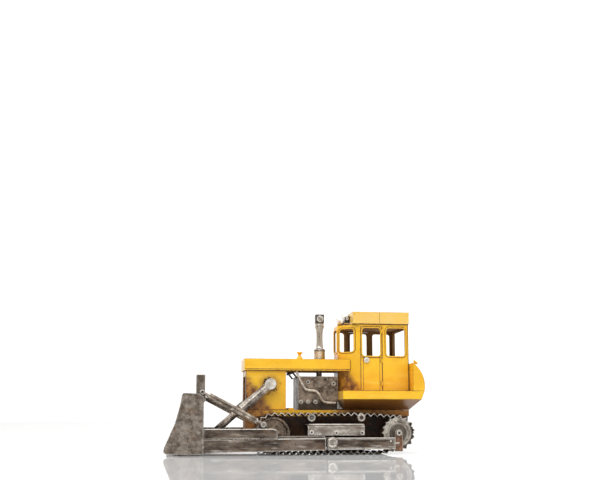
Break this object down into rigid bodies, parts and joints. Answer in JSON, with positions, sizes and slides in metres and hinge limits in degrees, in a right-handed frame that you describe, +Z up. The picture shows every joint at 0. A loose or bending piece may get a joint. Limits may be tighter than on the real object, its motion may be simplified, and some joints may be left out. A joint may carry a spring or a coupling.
{
  "type": "toy bulldozer",
  "caption": "Hand made sheet steel toy bulldozer with a lifting blade, lift cylinders, opening cab doors and turning track wheels.",
  "frame": {"origin": "on the floor under the middle of the toy", "axes": "+X towards the cab and fuel tank, so the blade is at -X; +Y towards the right side; +Z up"},
  "size_m": [0.3961, 0.184, 0.2204],
  "materials": {
    "yellow_paint": "glossy warm yellow enamel, brushed on by hand, with rust showing at the folds",
    "dark_steel": "dark browned steel, polished on its upper edges",
    "blade_iron": "mottled grey-brown sheet iron under clear lacquer, with lighter worn edges",
    "bright_steel": "polished steel with brown heat stains",
    "rusty_hull": "dark red-brown rust over old paint",
    "engine_steel": "stained grey-brown plate, oily black towards the bottom",
    "black_iron": "blackened iron"
  },
  "bodies": {
    "chassis": {"cab_roof": "yellow_paint", "cab_shell": "yellow_paint", "chassis_hull": "rusty_hull", "deck_plate": "yellow_paint", "engine_block": "engine_steel", "engine_plate_left": "engine_steel", "engine_plate_right": "engine_steel", "exhaust_collar": "bright_steel", "exhaust_head": "bright_steel", "exhaust_screw": "bright_steel", "exhaust_tube": "bright_steel", "fender_body": "yellow_paint", "filler_cap": "yellow_paint", "fuel_tank": "yellow_paint", "headlamp_left": "bright_steel", "headlamp_right": "bright_steel", "hood_lid": "yellow_paint", "hood_stay": "black_iron", "idler_axle": "dark_steel", "oil_pipe": "bright_steel", "pivot_boss_left": "bright_steel", "pivot_boss_right": "bright_steel", "radiator_grille": "black_iron", "radiator_housing": "yellow_paint", "roller_guard_left": "dark_steel", "roller_guard_right": "dark_steel", "sprocket_axle": "bright_steel", "tank_cap": "yellow_paint", "track_beam_left": "dark_steel", "track_beam_right": "dark_steel", "track_belt_left": "bright_steel", "track_belt_right": "bright_steel", "trunnion_shaft": "dark_steel"},
    "blade": {"moldboard": "blade_iron", "cutting_edge": "dark_steel", "spill_guard": "blade_iron", "blade_end_plate_left": "blade_iron", "blade_end_plate_right": "blade_iron", "push_arm_left": "dark_steel", "push_arm_right": "dark_steel", "upper_arm_left": "dark_steel", "upper_arm_right": "dark_steel", "brace_left": "dark_steel", "brace_right": "dark_steel"},
    "lift_barrel_left": {"lift_barrel_left": "bright_steel"},
    "lift_rod_left": {"lift_rod_left": "dark_steel"},
    "door_left": {"door_left": "yellow_paint", "door_knob_left": "bright_steel"},
    "sprocket_left": {"sprocket_left": "bright_steel"},
    "idler_left": {"idler_left": "dark_steel"},
    "carrier_front_left": {"carrier_roller_front_left": "dark_steel"},
    "carrier_rear_left": {"carrier_roller_rear_left": "dark_steel"},
    "lift_barrel_right": {"lift_barrel_right": "bright_steel"},
    "lift_rod_right": {"lift_rod_right": "dark_steel"},
    "door_right": {"door_right": "yellow_paint", "door_knob_right": "bright_steel"},
    "sprocket_right": {"sprocket_right": "bright_steel"},
    "idler_right": {"idler_right": "dark_steel"},
    "carrier_front_right": {"carrier_roller_front_right": "dark_steel"},
    "carrier_rear_right": {"carrier_roller_rear_right": "dark_steel"}
  },
  "joints": [
    {"name": "blade_lift", "type": "hinge", "parent": "chassis", "child": "blade", "pos_m": [0.0501, 0, 0.0186], "axis": [0, 1, 0], "range_deg": [0, 14.5]},
    {"name": "lift_barrel_left_swing", "type": "hinge", "parent": "chassis", "child": "lift_barrel_left", "pos_m": [-0.0389, -0.044, 0.1061], "axis": [0, 1, 0], "range_deg": [0, 18]},
    {"name": "lift_rod_left_slide", "type": "slide", "parent": "lift_barrel_left", "child": "lift_rod_left", "axis": [0.7513, 0, 0.66], "range_m": [0, 0.0312]},
    {"name": "door_left_swing", "type": "hinge", "parent": "chassis", "child": "door_left", "pos_m": [0.1364, -0.0503, 0.147], "axis": [0, 0, 1], "range_deg": [0, 75]},
    {"name": "sprocket_left_spin", "type": "hinge", "parent": "chassis", "child": "sprocket_left", "pos_m": [0.1532, -0.067, 0.0321], "axis": [0, 1, 0], "continuous": true},
    {"name": "idler_left_spin", "type": "hinge", "parent": "chassis", "child": "idler_left", "pos_m": [-0.0362, -0.057, 0.0313], "axis": [0, 1, 0], "continuous": true},
    {"name": "carrier_front_left_spin", "type": "hinge", "parent": "chassis", "child": "carrier_front_left", "pos_m": [0.0203, -0.055, 0.0552], "axis": [0, 1, 0], "continuous": true},
    {"name": "carrier_rear_left_spin", "type": "hinge", "parent": "chassis", "child": "carrier_rear_left", "pos_m": [0.0965, -0.055, 0.0552], "axis": [0, 1, 0], "continuous": true},
    {"name": "lift_barrel_right_swing", "type": "hinge", "parent": "chassis", "child": "lift_barrel_right", "pos_m": [-0.0389, 0.044, 0.1061], "axis": [0, 1, 0], "range_deg": [0, 18]},
    {"name": "lift_rod_right_slide", "type": "slide", "parent": "lift_barrel_right", "child": "lift_rod_right", "axis": [0.7513, 0, 0.66], "range_m": [0, 0.0312]},
    {"name": "door_right_swing", "type": "hinge", "parent": "chassis", "child": "door_right", "pos_m": [0.1364, 0.0503, 0.147], "axis": [0, 0, -1], "range_deg": [0, 75]},
    {"name": "sprocket_right_spin", "type": "hinge", "parent": "chassis", "child": "sprocket_right", "pos_m": [0.1532, 0.067, 0.0321], "axis": [0, 1, 0], "continuous": true},
    {"name": "idler_right_spin", "type": "hinge", "parent": "chassis", "child": "idler_right", "pos_m": [-0.0362, 0.057, 0.0313], "axis": [0, 1, 0], "continuous": true},
    {"name": "carrier_front_right_spin", "type": "hinge", "parent": "chassis", "child": "carrier_front_right", "pos_m": [0.0203, 0.055, 0.0552], "axis": [0, 1, 0], "continuous": true},
    {"name": "carrier_rear_right_spin", "type": "hinge", "parent": "chassis", "child": "carrier_rear_right", "pos_m": [0.0965, 0.055, 0.0552], "axis": [0, 1, 0], "continuous": true}
  ],
  "couplings": [
    {"joint": "lift_barrel_left_swing", "follows": "blade_lift", "ratio": 1.2},
    {"joint": "lift_rod_left_slide", "follows": "blade_lift", "m_per_rad": 0.12224},
    {"joint": "idler_left_spin", "follows": "sprocket_left_spin", "ratio": 0.85},
    {"joint": "lift_barrel_right_swing", "follows": "blade_lift", "ratio": 1.2},
    {"joint": "lift_rod_right_slide", "follows": "blade_lift", "m_per_rad": 0.12224},
    {"joint": "idler_right_spin", "follows": "sprocket_right_spin", "ratio": 0.85}
  ]
}
